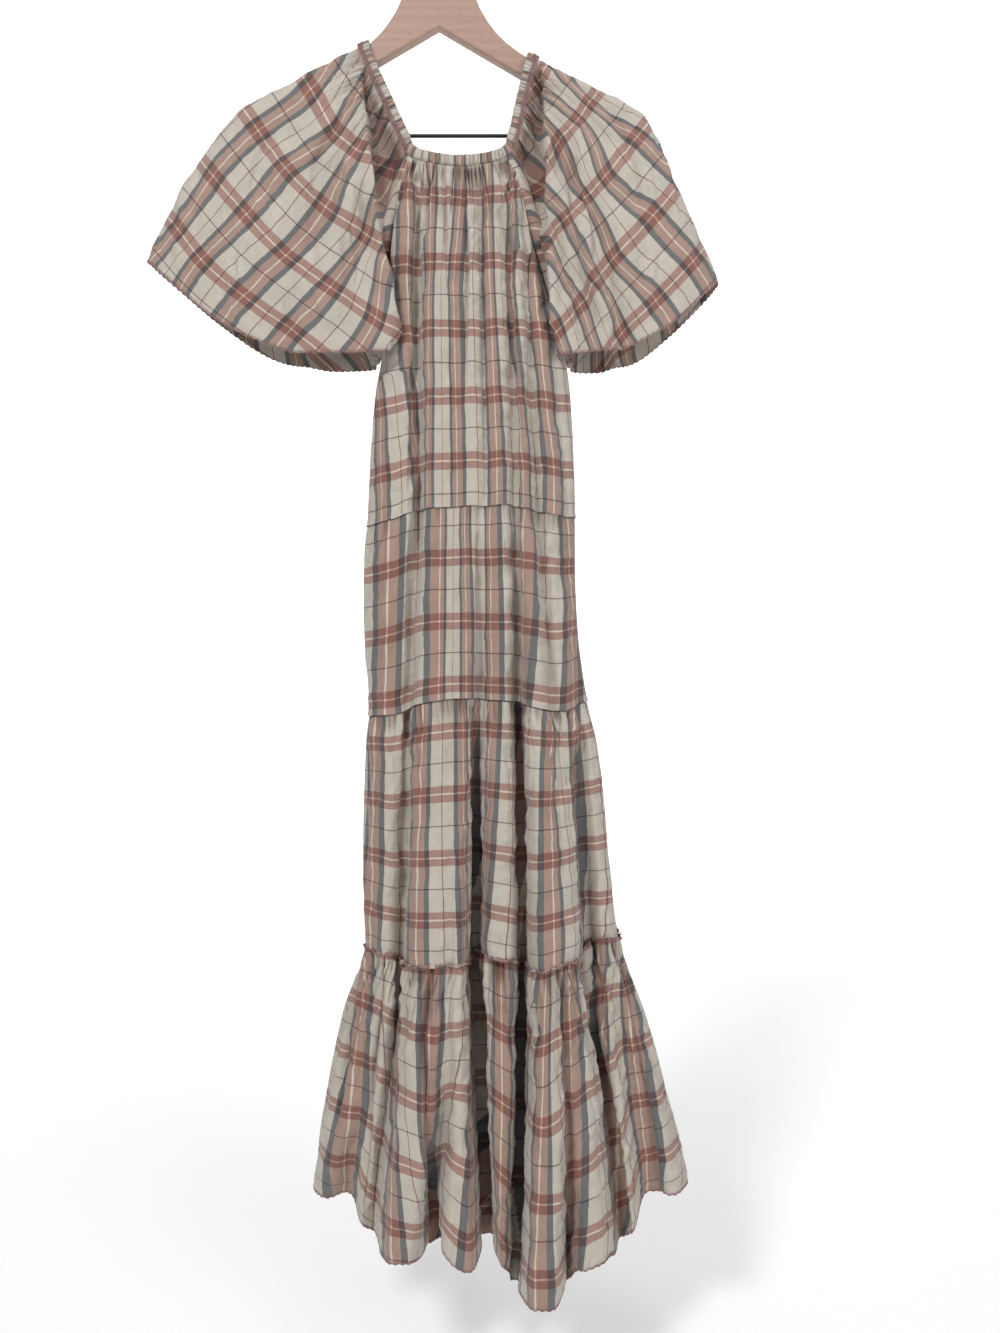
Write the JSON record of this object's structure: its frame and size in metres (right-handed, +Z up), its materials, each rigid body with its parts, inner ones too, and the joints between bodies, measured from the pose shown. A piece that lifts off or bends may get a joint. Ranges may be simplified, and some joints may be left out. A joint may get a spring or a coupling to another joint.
{
  "type": "tiered midi dress on a wooden hanger",
  "caption": "Tiered plaid midi dress with an elastic neck and open flutter sleeves, hanging on a wooden hanger with a wire hook and a trouser bar.",
  "frame": {"origin": "inside top of the hanger's hook, where it rests on a rail", "axes": "+Z up, the dress's front faces -Y, +X to the right of someone facing the front, the rail runs along Y"},
  "size_m": [0.5684, 0.2206, 1.3409],
  "materials": {
    "plaid_cotton": "light woven cotton plaid, matt, slightly crumpled",
    "casing_cotton": "the same cotton, ruched over elastic",
    "pale_wood": "smooth clear-lacquered pale wood",
    "bar_coating": "thin black non-slip coating",
    "hook_wire": "plated steel wire"
  },
  "bodies": {
    "root": {"bodice_front": "plaid_cotton", "bodice_back": "plaid_cotton", "sleeve_left": "plaid_cotton", "sleeve_right": "plaid_cotton", "neck_casing": "casing_cotton", "upper_tier_front": "plaid_cotton", "upper_tier_back": "plaid_cotton", "middle_tier_front": "plaid_cotton", "middle_tier_back": "plaid_cotton", "flounce_front": "plaid_cotton", "flounce_back": "plaid_cotton", "hanger_wood": "pale_wood", "hanger_bar": "bar_coating", "hanger_hook": "hook_wire"}
  },
  "joints": []
}
